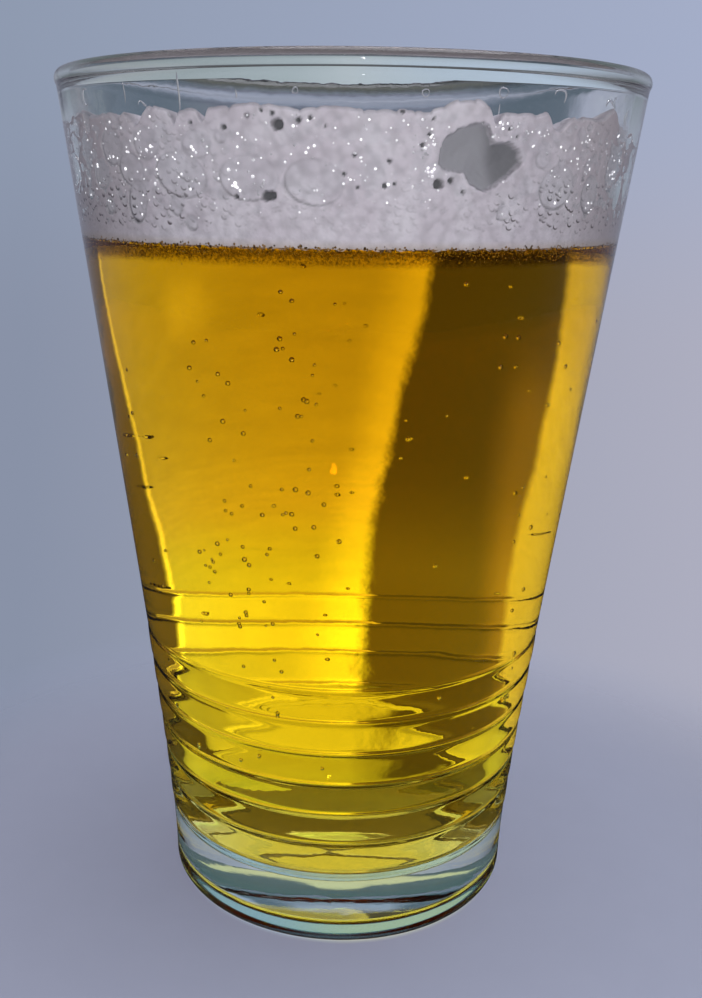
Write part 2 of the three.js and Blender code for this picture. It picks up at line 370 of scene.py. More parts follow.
def make_foam_material():
    mat, t = new_material("foam")
    where = node(t, "ShaderNodeTexCoord").outputs["Object"]
    z = node(t, "ShaderNodeSeparateXYZ", {0: where}).outputs[2]
    hollow = node(t, "ShaderNodeAttribute", attribute_name="hollow").outputs["Fac"]
    tone = node(t, "ShaderNodeAttribute", attribute_name="tone").outputs["Fac"]
    film = node(t, "ShaderNodeAttribute", attribute_name="film").outputs["Fac"]
    # fine bubbles: a cell pattern, finest by the beer and coarser higher up
    cells = node(t, "ShaderNodeTexVoronoi", {"Vector": where, "Scale": 2100.0, "Randomness": 1.0}, feature="SMOOTH_F1")
    coarse = node(t, "ShaderNodeTexVoronoi", {"Vector": where, "Scale": 900.0, "Randomness": 1.0}, feature="SMOOTH_F1")
    blotch = node(t, "ShaderNodeTexNoise", {"Vector": where, "Scale": 150.0, "Detail": 5.0, "Roughness": 0.62})
    high = map_range(t, z, 0.1185, 0.130)
    cell = mix_colour(t, high, cells.outputs["Distance"], coarse.outputs["Distance"])
    # little bubbles whose lower edges are painted dark as painted shade: rings round the middles of a second cell
    # pattern, plainest low down at the sides
    small = node(t, "ShaderNodeTexVoronoi", {"Vector": where, "Scale": 820.0, "Randomness": 0.9}, feature="F1")
    offset = node(t, "ShaderNodeVectorMath", {0: where, 1: small.outputs["Position"]}, operation="SUBTRACT").outputs["Vector"]
    ox, oy, oz = (node(t, "ShaderNodeSeparateXYZ", {0: offset}).outputs[i] for i in range(3))
    ring = maths(t, "ABSOLUTE", maths(t, "SUBTRACT", small.outputs["Distance"], 0.40))
    ring = map_range(t, ring, 0.13, 0.05)
    lower = map_range(t, maths(t, "MULTIPLY_ADD", ox, 600.0, maths(t, "MULTIPLY", oz, 1300.0)), 0.05, -0.50)
    x = node(t, "ShaderNodeSeparateXYZ", {0: where}).outputs[0]
    sideways = map_range(t, maths(t, "ABSOLUTE", x), 0.012, 0.026, 0.18, 1.0)
    belt = maths(t, "MULTIPLY", map_range(t, z, 0.1186, 0.1200), map_range(t, z, 0.1275, 0.1235, 0.30, 1.0))
    patchy = map_range(t, blotch.outputs["Fac"], 0.40, 0.56)
    little_lower_shade = maths(t, "MULTIPLY", maths(t, "MULTIPLY", ring, lower), maths(t, "MULTIPLY", maths(t, "MULTIPLY", sideways, belt), patchy))
    height = maths(t, "MULTIPLY_ADD", cell, -1.0, maths(t, "MULTIPLY", blotch.outputs["Fac"], 0.5))
    bump = node(t, "ShaderNodeBump", {"Strength": 0.22, "Distance": 0.0004, "Height": height})
    pale = mix_colour(t, map_range(t, blotch.outputs["Fac"], 0.32, 0.68), (0.77, 0.71, 0.775), (0.87, 0.825, 0.885))
    pores = map_range(t, coarse.outputs["Distance"], 0.25, 0.75, 1.0, 0.82)
    colour = mix_colour(t, 1.0, pale, pores, "MULTIPLY")
    y = node(t, "ShaderNodeSeparateXYZ", {0: where}).outputs[1]
    out = maths(t, "SQRT", maths(t, "MULTIPLY_ADD", x, x, maths(t, "MULTIPLY", y, y)))
    falloff = map_range(t, maths(t, "ABSOLUTE", x), 0.024, 0.042)        # painted shade: the head is painted darker towards its sides, where it turns away from the light
    falloff = maths(t, "MULTIPLY", falloff, map_range(t, out, 0.0355, 0.0405))
    colour = mix_colour(t, falloff, colour, (0.53, 0.465, 0.475))
    wet = map_range(t, z, 0.1170, 0.1186, 1.0, 0.0)
    colour = mix_colour(t, maths(t, "MULTIPLY", wet, 0.55), colour, (0.50, 0.40, 0.30))
    # painted shade: hollows and pits are painted grey to dark inside, by their tone
    inside = mix_colour(t, 1.0, (0.46, 0.45, 0.485), tone, "MULTIPLY")
    # painted shade: the little bubbles' lower edges are painted almost black
    colour = mix_colour(t, maths(t, "MULTIPLY", little_lower_shade, 0.95), colour, (0.11, 0.09, 0.095))
    colour = mix_colour(t, hollow, colour, inside)
    # thin films, with painted shade darkest on their lower-left sides, round hollows and along the head's edge
    colour = mix_colour(t, film, colour, (0.10, 0.085, 0.095))
    p = node(t, "ShaderNodeBsdfPrincipled", {
        "Base Color": colour, "Roughness": 0.75, "IOR": 1.34, "Normal": bump.outputs[0],
        "Specular IOR Level": 0.2, "Coat Weight": 0.03, "Coat Roughness": 0.2})
    node(t, "ShaderNodeOutputMaterial", {"Surface": p.outputs[0]})
    return mat


foam_material = make_foam_material()


def make_glowing_pearl_material():
    mat, t = new_material("foam_glowing_pearl")
    where = node(t, "ShaderNodeTexCoord").outputs["Object"]
    tone = node(t, "ShaderNodeTexNoise", {"Vector": where, "Scale": 700.0, "Detail": 1.0}).outputs["Fac"]
    # painted glints: where this noise is high the pearl is whiter and glows, though it is no lamp
    painted_glint = map_range(t, tone, 0.38, 0.62)
    colour = mix_colour(t, painted_glint, (0.62, 0.60, 0.64), (0.95, 0.94, 0.97))
    p = node(t, "ShaderNodeBsdfPrincipled", {
        "Base Color": colour, "Roughness": 0.25, "IOR": 1.34, "Coat Weight": 1.0, "Coat Roughness": 0.08,
        "Emission Color": colour, "Emission Strength": maths(t, "MULTIPLY", painted_glint, 1.15)})
    node(t, "ShaderNodeOutputMaterial", {"Surface": p.outputs[0]})
    mat.cycles.emission_sampling = "NONE"
    return mat


def make_trace_material():
    mat, t = new_material("foam_trace")
    where = node(t, "ShaderNodeTexCoord").outputs["Object"]
    tone = node(t, "ShaderNodeTexNoise", {"Vector": where, "Scale": 900.0, "Detail": 2.0}).outputs["Fac"]
    colour = mix_colour(t, tone, (0.55, 0.56, 0.60), (0.85, 0.86, 0.90))
    bump = node(t, "ShaderNodeBump", {"Strength": 0.3, "Distance": 0.0002, "Height": tone})
    p = node(t, "ShaderNodeBsdfPrincipled", {
        "Base Color": colour, "Roughness": 0.15, "IOR": 1.34, "Transmission Weight": 0.6, "Normal": bump.outputs[0]})
    node(t, "ShaderNodeOutputMaterial", {"Surface": p.outputs[0]})
    return mat


trace_material = make_trace_material()
glowing_pearl_material = make_glowing_pearl_material()

# ---------------------------------------------------------------------------
# Glass
# ---------------------------------------------------------------------------
def arc(cr, cz, rr, rz, a0, a1, steps):
    a = np.linspace(a0, a1, steps)
    return np.stack([cr + rr * np.cos(a), cz + rz * np.sin(a)], 1)


def band_relief(z):
    """How far the outside stands out of the plain cone, for the bands and their grooves."""
    z = np.asarray(z, float)
    place = (z - RIB_FIRST) / RIB_PITCH
    within = place - np.floor(place)
    ribbed = (place > 0) & (place < RIB_COUNT)
    bulge = RIB_BULGE * (1 - (2 * within - 1) ** 2)
    band = np.where(ribbed, RIB_PROUD - RIB_TAPER * within + bulge, 0.0)
    to_groove = (place - np.clip(np.round(place), 0, RIB_COUNT)) * RIB_PITCH
    groove = np.exp(-np.abs(to_groove / (0.8 * GROOVE_HALF)) ** 2.0)
    return band * (1 - groove) - 0.8 * GROOVE_DEPTH * groove


def glass_profile():
    """Outside from the axis under the base, up over the rim and down to the inside floor; with the share that is inside wall."""
    r = np.linspace(0, PUNT_RADIUS, 14)
    parts = [np.stack([r, PUNT_DEPTH + PUNT_DOME * (1 - (r / PUNT_RADIUS) ** 2)], 1)]
    s = np.linspace(0.15, 1, 7)
    parts.append(np.stack([PUNT_RADIUS + (FOOT_RING_INNER - PUNT_RADIUS) * s,
                           PUNT_DEPTH * (0.5 + 0.5 * np.cos(math.pi * s))], 1))
    heel = outer_radius(HEEL_RADIUS)
    parts.append(np.array([[FOOT_RING_INNER + 0.5, 0.0], [heel - HEEL_RADIUS - 0.6, 0.0]]))
    parts.append(arc(heel - HEEL_RADIUS, HEEL_RADIUS, HEEL_RADIUS, HEEL_RADIUS, -math.pi / 2, 0, 12))
    z = np.linspace(3.6, RIB_FIRST - 1.3, 8)
    parts.append(np.stack([outer_radius(z), z], 1))
    # bands with rounded shoulders and a narrow groove between them
    reach = GROOVE_HALF * 1.5
    near = np.linspace(-1, 1, 13) * reach
    end = RIB_FIRST + RIB_COUNT * RIB_PITCH
    z = np.concatenate([np.concatenate([RIB_FIRST + rib * RIB_PITCH + near,
                                        RIB_FIRST + rib * RIB_PITCH + np.linspace(reach, RIB_PITCH - reach, 9)[1:-1]])
                        for rib in range(RIB_COUNT + 1)])
    z = z[z < end + reach + 0.01]
    parts.append(np.stack([outer_radius(z) + band_relief(z), z], 1))
    neck = GLASS_HEIGHT - BEAD_HEIGHT - 0.9
    z = np.linspace(end + 6, neck, 12)
    parts.append(np.stack([outer_radius(z), z], 1))
    middle = GLASS_HEIGHT - BEAD_HEIGHT / 2
    outside, inside = outer_radius(middle) + BEAD_PROUD, inner_radius(middle) - BEAD_PROUD
    parts.append(arc((outside + inside) / 2, middle, (outside - inside) / 2, BEAD_HEIGHT / 2, -0.75, math.pi + 0.75, 26))
    z = np.linspace(neck, FLOOR_HEIGHT + INNER_CORNER + 3, 24)
    wall_from = sum(len(x) for x in parts)
    parts.append(np.stack([inner_radius(z), z], 1))
    corner_z = FLOOR_HEIGHT + INNER_CORNER
    corner_r = inner_radius(corner_z) - INNER_CORNER
    parts.append(arc(corner_r, corner_z, INNER_CORNER, INNER_CORNER, 0, -math.pi / 2, 12))
    r = np.linspace(corner_r, 0, 12)[1:]
    parts.append(np.stack([r, FLOOR_HEIGHT - FLOOR_DISH * (1 - (r / corner_r) ** 2)], 1))
    return np.concatenate(parts), wall_from


profile, wall_from = glass_profile()
SEG = 256
verts, quads, tris = revolve(profile, SEG)
glass = mesh_object("glass_tumbler", verts, quads, tris, material=glass_dry)
glass.data.materials.append(glass_wet)
# the inside faces under the head of foam are wet
centres = np.zeros(len(glass.data.polygons) * 3, np.float32)
glass.data.polygons.foreach_get("center", centres)
centres = centres.reshape(-1, 3) / MM
radial = np.hypot(centres[:, 0], centres[:, 1])
inside_face = (np.abs(radial - inner_radius(np.clip(centres[:, 2], 0, None))) < 0.35) | (
    (centres[:, 2] > FLOOR_HEIGHT - 1.0) & (centres[:, 2] < FLOOR_HEIGHT + INNER_CORNER + 1) & (radial < inner_radius(12.0) + 0.2))
wet = inside_face & (centres[:, 2] < BEER_LEVEL) & (centres[:, 2] > FLOOR_HEIGHT - 1.0)
glass.data.polygons.foreach_set("material_index", wet.astype(np.int32))
glass.data.update()
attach(glass, "root")
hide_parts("glass")

# ---------------------------------------------------------------------------
# Beer
# ---------------------------------------------------------------------------
def beer_profile():
    corner_z = FLOOR_HEIGHT + INNER_CORNER
    corner_r = inner_radius(corner_z) - INNER_CORNER
    r = np.linspace(0, corner_r, 12)[:-1]
    parts = [np.stack([r, FLOOR_HEIGHT - INTO_WALL - FLOOR_DISH * (1 - (r / corner_r) ** 2)], 1)]
    parts.append(arc(corner_r, corner_z, INNER_CORNER + INTO_WALL, INNER_CORNER + INTO_WALL, -math.pi / 2, 0, 12))
    z = np.linspace(corner_z + 3, BEER_LEVEL - 0.4, 30)
    parts.append(np.stack([inner_radius(z) + INTO_WALL, z], 1))
    top = inner_radius(BEER_LEVEL)
    parts.append(np.array([[top + INTO_WALL, BEER_LEVEL], [top - 1.5, BEER_LEVEL], [top * 0.6, BEER_LEVEL], [0, BEER_LEVEL]]))
    return np.concatenate(parts)


verts, quads, tris = revolve(beer_profile(), SEG)
beer = mesh_object("beer_body", verts, quads, tris, material=beer_material)
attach(beer, "root")
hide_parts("beer")

# Gas: chains of bubbles rising along the wall and loose ones, as (degrees, lowest, highest, how many)
CHAINS = [(-12, 96, 113, 7), (-8, 84, 112, 8), (-33, 90, 104, 6), (-30, 66, 92, 8), (-24, 60, 96, 9), (-37, 62, 80, 8),
          (-20, 58, 78, 6), (-14, 74, 90, 6), (-5, 70, 96, 6), (-27, 48, 66, 7), (-18, 40, 58, 5), (34, 78, 108, 3),
          (60, 40, 105, 9), (95, 50, 110, 8), (140, 30, 100, 10), (180, 40, 110, 9), (215, 30, 90, 8), (250, 45, 108, 9),
          (300, 35, 100, 8)]
phi, height, depth = [], [], []
for degrees, low, top, count in CHAINS:
    z = rng.uniform(low, top, count)
    phi += list(np.radians(degrees + rng.normal(0, 2.2, count)))
    height += list(z)
    depth += list(rng.uniform(0.4, 3.0, count))
loose = 60
phi += list(rng.uniform(-math.pi, math.pi, loose))
height += list(rng.uniform(20, 114, loose))
depth += list(rng.uniform(0.4, 14.0, loose))
phi, height, depth = (np.array(v) for v in (phi, height, depth))
gas = spheres("gas_bubbles", on_wall(phi, height, depth), rng.uniform(0.22, 0.42, len(phi)), 2, material=gas_material)
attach(gas, "root")

# The fizz: a belt of very small bubbles on the wall right under the head
count = 4200
phi = rng.uniform(-math.pi, math.pi, count)
height = BEER_LEVEL - 0.05 - np.abs(rng.normal(0, 0.75, count))
fizz = spheres("fizz_belt", on_wall(phi, height, rng.uniform(0.1, 0.9, count)), rng.uniform(0.06, 0.16, count), 0,
               material=gas_material)
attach(fizz, "root")

# and a ragged row of wet brown beads where the head meets the beer
count = 950
phi = rng.uniform(-math.pi, math.pi, count)
height = BEER_LEVEL + rng.normal(0.02, 0.16, count)
size = rng.uniform(0.10, 0.24, count)
beads = spheres("beer_line", on_wall(phi, height, size * 0.35), size, 1, material=bead_material)
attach(beads, "root")

# ---------------------------------------------------------------------------
# Foam
# ---------------------------------------------------------------------------
WALL_R = float(inner_radius(127.0))
MM_PER_DEGREE = WALL_R * math.pi / 180


def turn_from(a, b):
    return np.arctan2(np.sin(a - b), np.cos(a - b))


# Columns round the head, closer together over the half that shows its big bubbles
FRONT, N_FRONT, N_BACK = 78.0, 520, 350
angle = np.radians(np.concatenate([np.linspace(-FRONT, FRONT, N_FRONT, endpoint=False),
                                   np.linspace(FRONT, 360 - FRONT, N_BACK, endpoint=False)]))
angle = turn_from(angle, 0.0)
N_PHI, N_SIDE, N_TOP = N_FRONT + N_BACK, 84, 26

# The head's edge on the wall: swells and gaps as (degrees, rise, half width in degrees)
EDGE_MARKS = [(-45.5, -0.7, 1.0), (-40.6, -1.9, 1.9), (-36.0, 0.4, 2.4), (-31.6, -1.5, 0.7), (-25.9, -1.5, 0.8), (-28.6, 0.1, 1.2),
              (-16.0, 0.5, 6.0), (20.0, 1.4, 4.2), (25.1, -1.3, 0.9), (38.6, -1.6, 2.6), (35.6, 0.5, 1.2), (54.0, 1.3, 2.4),
              (60.5, -2.4, 3.0), (72.0, -2.9, 6.5), (100.0, 0.9, 7.0), (124.0, -1.4, 9.0), (150.0, 0.8, 8.0), (176.0, -1.6, 4.0),
              (-160.0, 0.9, 9.0), (-138.0, -1.2, 5.0), (-112.0, 1.0, 8.0), (-86.0, -0.9, 6.0), (-60.0, 0.4, 5.0)]
edge = np.full(N_PHI, FOAM_WALL_TOP)
for at, rise, half in EDGE_MARKS:
    edge += rise * np.exp(-np.abs(np.degrees(turn_from(angle, math.radians(at))) / half) ** 2.4)
edge += 0.12 * np.cos(19 * angle + 0.5) + 0.1 * np.cos(31 * angle + 2.0)
scallop = np.full(N_PHI, -0.5)
for _ in range(230):
    a0, r0, l0 = rng.uniform(-math.pi, math.pi), rng.uniform(0.35, 1.2), rng.uniform(-0.3, 0.12)
    across = turn_from(angle, a0) * WALL_R
    inside = np.abs(across) < r0
    scallop[inside] = np.maximum(scallop[inside], l0 + 0.55 * (np.sqrt(r0 ** 2 - across[inside] ** 2) - 0.5 * r0))
edge = edge + scallop * 0.5

FOAM_BOTTOM = BEER_LEVEL - 0.1
share = np.linspace(0, 1, N_SIDE)
ragged = 0.10 * np.sin(61 * angle) + 0.08 * np.sin(103 * angle + 1.0) + 0.07 * np.sin(171 * angle + 2.0)
bottom = FOAM_BOTTOM + ragged
side_z = bottom[None, :] + (edge - bottom)[None, :] * share[:, None]

recess = np.zeros(side_z.shape)          # how far the skin lies behind the wall
line = np.zeros(side_z.shape)            # thin dark films, partly painted shade: darkest on the lower left of each bubble's outline
hollow_mark = np.zeros(side_z.shape)     # bare or open places
# painted shade: how light the inside of each hollow and pit is painted
hollow_shade = np.ones(side_z.shape)


def stamp(p0, z0, half_w, half_h, reach, action, tilt=0.0):
    """Calls action with the part of the side grid round a place, and each point's place in half sizes."""
    turn = turn_from(angle, math.radians(p0)) * WALL_R
    idx = np.nonzero(np.abs(turn) < half_w * reach + 0.4)[0]
    if len(idx) == 0:
        return
    dx, dz = turn[idx][None, :], side_z[:, idx] - z0
    c, s = math.cos(math.radians(tilt)), math.sin(math.radians(tilt))
    u, v = (dx * c + dz * s) / half_w, (dz * c - dx * s) / half_h
    action(idx, np.sqrt(u * u + v * v), u, v)


# Bubbles pressed flat against the wall: degrees, height, half width, half height, film darkness, lean; each film line
# is painted darkest on its lower left, as painted shade
BIG = [(-48.6, 130.3, 2.3, 2.5, 0.55, -25), (-38.6, 130.7, 2.4, 2.1, 0.25, 0), (-43.4, 127.2, 2.6, 2.2, 0.75, -20),
       (-42.6, 122.9, 1.9, 2.9, 0.9, -15), (-53.6, 126.4, 2.0, 1.9, 0.4, 0), (-27.4, 130.4, 2.2, 1.7, 0.3, 0),
       (-31.2, 126.5, 4.2, 2.9, 0.75, -12), (-17.7, 126.2, 4.1, 2.9, 0.45, 0), (-6.1, 125.7, 3.9, 2.9, 0.5, -8),
       (40.4, 125.5, 3.3, 2.9, 0.6, 18), (50.6, 124.6, 1.9, 2.6, 0.7, 10), (58.2, 128.2, 1.9, 3.1, 0.6, 5),
       (35.8, 129.2, 1.2, 1.2, 0.4, 0), (28.6, 122.0, 1.0, 0.9, 0.45, 0), (-33.0, 122.3, 0.9, 1.2, 0.5, 20),
       (-29.6, 120.2, 0.9, 1.0, 0.6, 30), (-52.0, 122.2, 1.2, 1.1, 0.6, 0), (-22.4, 131.4, 0.9, 0.8, 0.3, 0),
       (63.5, 125.0, 1.3, 2.2, 0.4, 0), (-58.5, 130.0, 1.2, 2.4, 0.4, 0)]
# Open hollows: degrees, height, half width, half height, depth, tone (how light the painted shade inside stays)
HOLLOWS = [(69.5, 126.8, 1.6, 3.7, 2.4, 0.95), (-56.6, 134.6, 0.9, 2.4, 1.6, 0.9),
           (128, 129.8, 4.6, 2.7, 5.0, 0.5), (134, 128.6, 3.0, 2.2, 5.0, 0.4), (205, 127.4, 5.2, 2.4, 5.0, 0.5),
           (211, 126.2, 3.0, 2.4, 5.0, 0.4), (262, 129.5, 3.4, 2.6, 4.0, 0.5)]
# Small open holes: degrees, height, radius; their insides are painted dark, as painted shade
HOLES = [(-12.2, 132.9, 0.82), (-21.8, 132.6, 0.45), (-8.6, 133.4, 0.4), (-13.0, 134.3, 0.33), (-6.7, 133.7, 0.33), (-17.4, 134.0, 0.3),
         (-14.8, 134.6, 0.3), (-28.2, 133.2, 0.3), (-4.2, 132.7, 0.24), (0.7, 129.2, 0.3), (12.1, 130.6, 0.36), (15.4, 125.7, 0.75),
         (17.6, 126.2, 0.45), (20.0, 124.7, 0.3), (13.6, 133.8, 0.28), (27.8, 132.9, 0.32), (29.6, 132.0, 0.28), (6.0, 125.4, 0.42),
         (7.6, 125.7, 0.3), (-1.0, 126.8, 0.3), (1.4, 125.1, 0.26), (6.6, 128.5, 0.3), (47.6, 126.7, 0.35), (50.0, 125.5, 0.4),
         (-14.5, 123.9, 0.75), (-13.5, 124.0, 0.65), (-20.2, 123.8, 0.4), (13.2, 131.9, 0.3), (8.4, 134.6, 0.32), (41.6, 125.2, 0.3), (61.0, 129.8, 0.3)]
for _ in range(70):
    a0 = rng.uniform(-180, 180)
    if abs(a0) < 62:
        continue
    HOLES.append((a0, rng.uniform(124.5, 134.2), float(np.exp(rng.normal(math.log(0.3), 0.3)))))


def clear_of(p0, z0, r0, others):
    for o in others:
        dx = float(turn_from(math.radians(p0), math.radians(o[0]))) * WALL_R
        if (dx / (o[2] + 0.9 * r0)) ** 2 + ((z0 - o[1]) / (o[3] + 0.9 * r0)) ** 2 < 1:
            return False
    return True


more = []
for _ in range(900):
    if len(more) >= 40:
        break
    a0, z0, r0 = rng.uniform(66, 296), rng.uniform(121.5, 131.5), rng.uniform(1.1, 3.6)
    if clear_of(a0, z0, r0, more + HOLLOWS):
        more.append((a0, z0, r0 * rng.uniform(0.9, 1.25), r0 * rng.uniform(0.75, 1.0), rng.uniform(0.3, 0.8), rng.uniform(-25, 25)))
BIG += more

# fine bubbles first, so that the big ones wipe them out
for _ in range(3300):
    a0, z0 = rng.uniform(-180, 180), 118.0 + 16.5 * rng.random() ** 1.15
    at_sides = 1.0 if 24 < abs(a0) < 66 or abs(a0) > 80 else 0.35
    coarse = np.clip((z0 - 118.5) / 7.0, 0.15, 1)
    r0 = float(np.exp(rng.normal(math.log(0.42 * coarse + 0.12), 0.38)))
    low_belt = math.exp(-((z0 - 121.8) / 2.4) ** 2)
    strength = (0.10 + 0.75 * at_sides * low_belt) * rng.uniform(0.3, 1.0)

    def fine(idx, rho, u, v, r0=r0, strength=strength):
        bowl = np.where(rho < 1, 0.10 * r0 * (1 - rho ** 2), 0)
        recess[:, idx] = np.maximum(recess[:, idx], bowl)
        # painted shade: a dark arc on the lower-left edge of each fine bubble
        arc_mark = np.exp(-((rho - 1.0) / max(0.12, 0.09 / r0)) ** 2) * np.clip(-(0.45 * u + 0.75 * v), 0, 1)
        line[:, idx] = np.maximum(line[:, idx], strength * arc_mark)
    stamp(a0, z0, r0, r0 * 0.92, 1.4, fine)

for p0, z0, w, h, darkness, lean in BIG:
    def flat(idx, rho, u, v, w=w, darkness=darkness):
        inside = np.clip((1.06 - rho) / 0.12, 0, 1)
        dish = 0.03 + 0.10 * np.clip(1 - rho ** 2, 0, 1) + 0.05 * v * inside
        recess[:, idx] = recess[:, idx] * (1 - inside) + dish * inside
        line[:, idx] *= 1 - inside
        falloff = 0.16 / w
        film = np.exp(-((rho - 1.0) / falloff) ** 2)
        side = 0.22 + 0.78 * np.clip(-(0.5 * u + 0.8 * v) + 0.15, 0, 1)
        recess[:, idx] = recess[:, idx] + 0.22 * film * side
        line[:, idx] = np.maximum(line[:, idx], darkness * film * side)
    stamp(p0, z0, w, h, 1.5, flat, lean)

for p0, z0, r0 in HOLES:
    def pit(idx, rho, u, v, r0=r0):
        wall = np.clip((1.05 - rho) / 0.25, 0, 1)
        recess[:, idx] = np.maximum(recess[:, idx], (0.25 + 1.1 * r0) * wall)
        hollow_mark[:, idx] = np.maximum(hollow_mark[:, idx], wall)
        hollow_shade[:, idx] = np.where(wall > 0.05, 0.3, hollow_shade[:, idx])
    stamp(p0, z0, r0, r0 * 0.92, 1.4, pit)

for p0, z0, w, h, d, tone in HOLLOWS:
    def dig(idx, rho, u, v, d=d, w=w, tone=tone):
        wall = np.clip((1.0 - rho) * w / 0.45, 0, 1)
        depth = d * (1 - (1 - wall) ** 2) * (0.82 + 0.18 * np.clip(1 - rho ** 2, 0, 1))
        deeper = depth > recess[:, idx]
        recess[:, idx] = np.maximum(recess[:, idx], depth)
        hollow_shade[:, idx] = np.where(deeper & (wall > 0.02), tone, hollow_shade[:, idx])
        hollow_mark[:, idx] = np.maximum(hollow_mark[:, idx], wall)
        line[:, idx] = np.where(wall > 0, 0, line[:, idx])
    stamp(p0, z0, w, h, 1.15, dig)
# the largest hollow, a bubble open to the wall: its outline as (degrees, height); its inside is painted shade, lighter
# on its left and darker on its right
OUTLINE = np.array([(15.1, 129.4), (15.6, 131.4), (18.0, 132.7), (20.6, 133.4), (22.9, 133.6), (23.9, 133.1), (25.1, 131.1),
                    (28.1, 131.3), (30.6, 130.2), (31.3, 128.6), (29.0, 126.9), (25.2, 125.0), (23.6, 124.8), (21.0, 125.8),
                    (19.9, 127.1), (16.1, 127.4), (15.1, 128.2)])
corner = np.stack([OUTLINE[:, 0] * MM_PER_DEGREE, OUTLINE[:, 1]], 1)
idx = np.nonzero(np.abs(angle - math.radians(23)) < math.radians(11))[0]
px, pz = np.broadcast_to(angle[idx] * WALL_R, side_z[:, idx].shape), side_z[:, idx]
away, within = np.full(px.shape, 99.0), np.zeros(px.shape, bool)
for (ax, az), (bx, bz) in zip(corner, np.roll(corner, -1, 0)):
    along_leg = np.clip(((px - ax) * (bx - ax) + (pz - az) * (bz - az)) / ((bx - ax) ** 2 + (bz - az) ** 2), 0, 1)
    away = np.minimum(away, np.hypot(px - ax - along_leg * (bx - ax), pz - az - along_leg * (bz - az)))
    crosses = ((az > pz) != (bz > pz)) & (px < (bx - ax) * (pz - az) / (bz - az + 1e-9) + ax)
    within ^= crosses
away = np.where(within, away, -away) + 0.10 * np.sin(px * 5.1 + pz * 2.3) * np.cos(pz * 4.3)
wall = np.clip(away / 0.35, 0, 1)
recess[:, idx] = np.maximum(recess[:, idx] * (1 - wall), 1.0 * (1 - (1 - wall) ** 2) + 0.25 * np.clip(away - 0.5, 0, 2) * wall)
hollow_mark[:, idx] = np.where(away > 0, np.maximum(hollow_mark[:, idx], wall), hollow_mark[:, idx])
shade = 1 / (1 + np.exp(-(px / MM_PER_DEGREE - 24.6 + (pz - 129) * 0.35) / 0.55))
hollow_shade[:, idx] = np.where(away > -0.1, 0.92 - 0.40 * shade, hollow_shade[:, idx])
line[:, idx] = np.where(wall > 0, 0, line[:, idx])
# painted shade: a thin dark line is painted round every hollow and along the head's edge
rim_of_hollow = np.exp(-((hollow_mark - 0.25) / 0.2) ** 2) * (hollow_mark > 0.01)
line = np.maximum(line, 0.5 * rim_of_hollow)
line = np.maximum(line, 0.55 * np.clip((share[:, None] - 0.972) / 0.028, 0, 1))

fade = np.clip(share[:, None] * 20, 0, 1) * np.clip((1 - share[:, None]) * 14, 0, 1)
slow = 0.03 + 0.02 * np.sin(5 * angle + 0.7)[None, :] * np.sin(side_z * 0.9)
side_r = inner_radius(side_z) + INTO_WALL - (recess + slow) * fade
lip = np.clip((share[:, None] - 0.965) / 0.035, 0, 1) ** 2
side_r = side_r - 0.4 * lip

# top: a sunken middle under swollen and burst bubbles
edge_r = side_r[-1]
rings = 1 - np.linspace(0, 1, N_TOP + 1)[1:-1] ** 0.9
top_r = edge_r[None, :] * rings[:, None]
top_x, top_y = top_r * np.sin(angle), -top_r * np.cos(angle)
rise = (edge[None, :] + 0.15 - FOAM_MIDDLE_TOP) * rings[:, None] ** 6
top_z = FOAM_MIDDLE_TOP + rise + 0.35 * np.sin(top_x * 0.16 + 1) * np.cos(top_y * 0.19)
caps = 620
cap_r = 44.0 * np.sqrt(rng.uniform(0, 1, caps))
cap_a = rng.uniform(-math.pi, math.pi, caps)
cap_s = np.exp(rng.normal(math.log(1.15), 0.5, caps)).clip(0.5, 4.2)
relief = np.zeros(top_z.shape)
for r0, a0, s0 in zip(cap_r, cap_a, cap_s):
    cx, cy = r0 * math.sin(a0), -r0 * math.cos(a0)
    d2 = ((top_x - cx) ** 2 + (top_y - cy) ** 2) / s0 ** 2
    near = d2 < 1
    relief[near] = np.maximum(relief[near], 0.34 * s0 * np.sqrt(1 - d2[near]))
top_z = top_z + relief * np.clip((1 - rings[:, None]) * 12, 0, 1)

grid_r = np.concatenate([side_r, top_r])
grid_z = np.concatenate([side_z, top_z])
ring_x, ring_y = grid_r * np.sin(angle), -grid_r * np.cos(angle)
rows = len(grid_r)
verts = np.concatenate([np.stack([ring_x, ring_y, grid_z], 2).reshape(-1, 3),
                        [[0, 0, FOAM_BOTTOM], [0, 0, float(top_z[-1].mean())]]])
i, j = np.meshgrid(np.arange(rows - 1), np.arange(N_PHI), indexing="ij")
k = (j + 1) % N_PHI
quads = np.stack([i * N_PHI + j, i * N_PHI + k, (i + 1) * N_PHI + k, (i + 1) * N_PHI + j], -1).reshape(-1, 4)
j = np.arange(N_PHI)
k = (j + 1) % N_PHI
low_c, top_c = rows * N_PHI, rows * N_PHI + 1
tris = np.concatenate([np.stack([np.full(N_PHI, low_c), k, j], 1),
                       np.stack([(rows - 1) * N_PHI + j, (rows - 1) * N_PHI + k, np.full(N_PHI, top_c)], 1)])
foam = mesh_object("foam_head", verts, quads, tris, material=foam_material)
for name, grid, rest in (("hollow", hollow_mark, 0.0), ("tone", hollow_shade, 1.0), ("film", line, 0.0)):
    mark = foam.data.attributes.new(name, "FLOAT", "POINT")
    values = np.full(len(foam.data.vertices), rest, np.float32)
    values[:N_SIDE * N_PHI] = grid.ravel()
    mark.data.foreach_set("value", values)
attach(foam, "root")
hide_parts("foam")

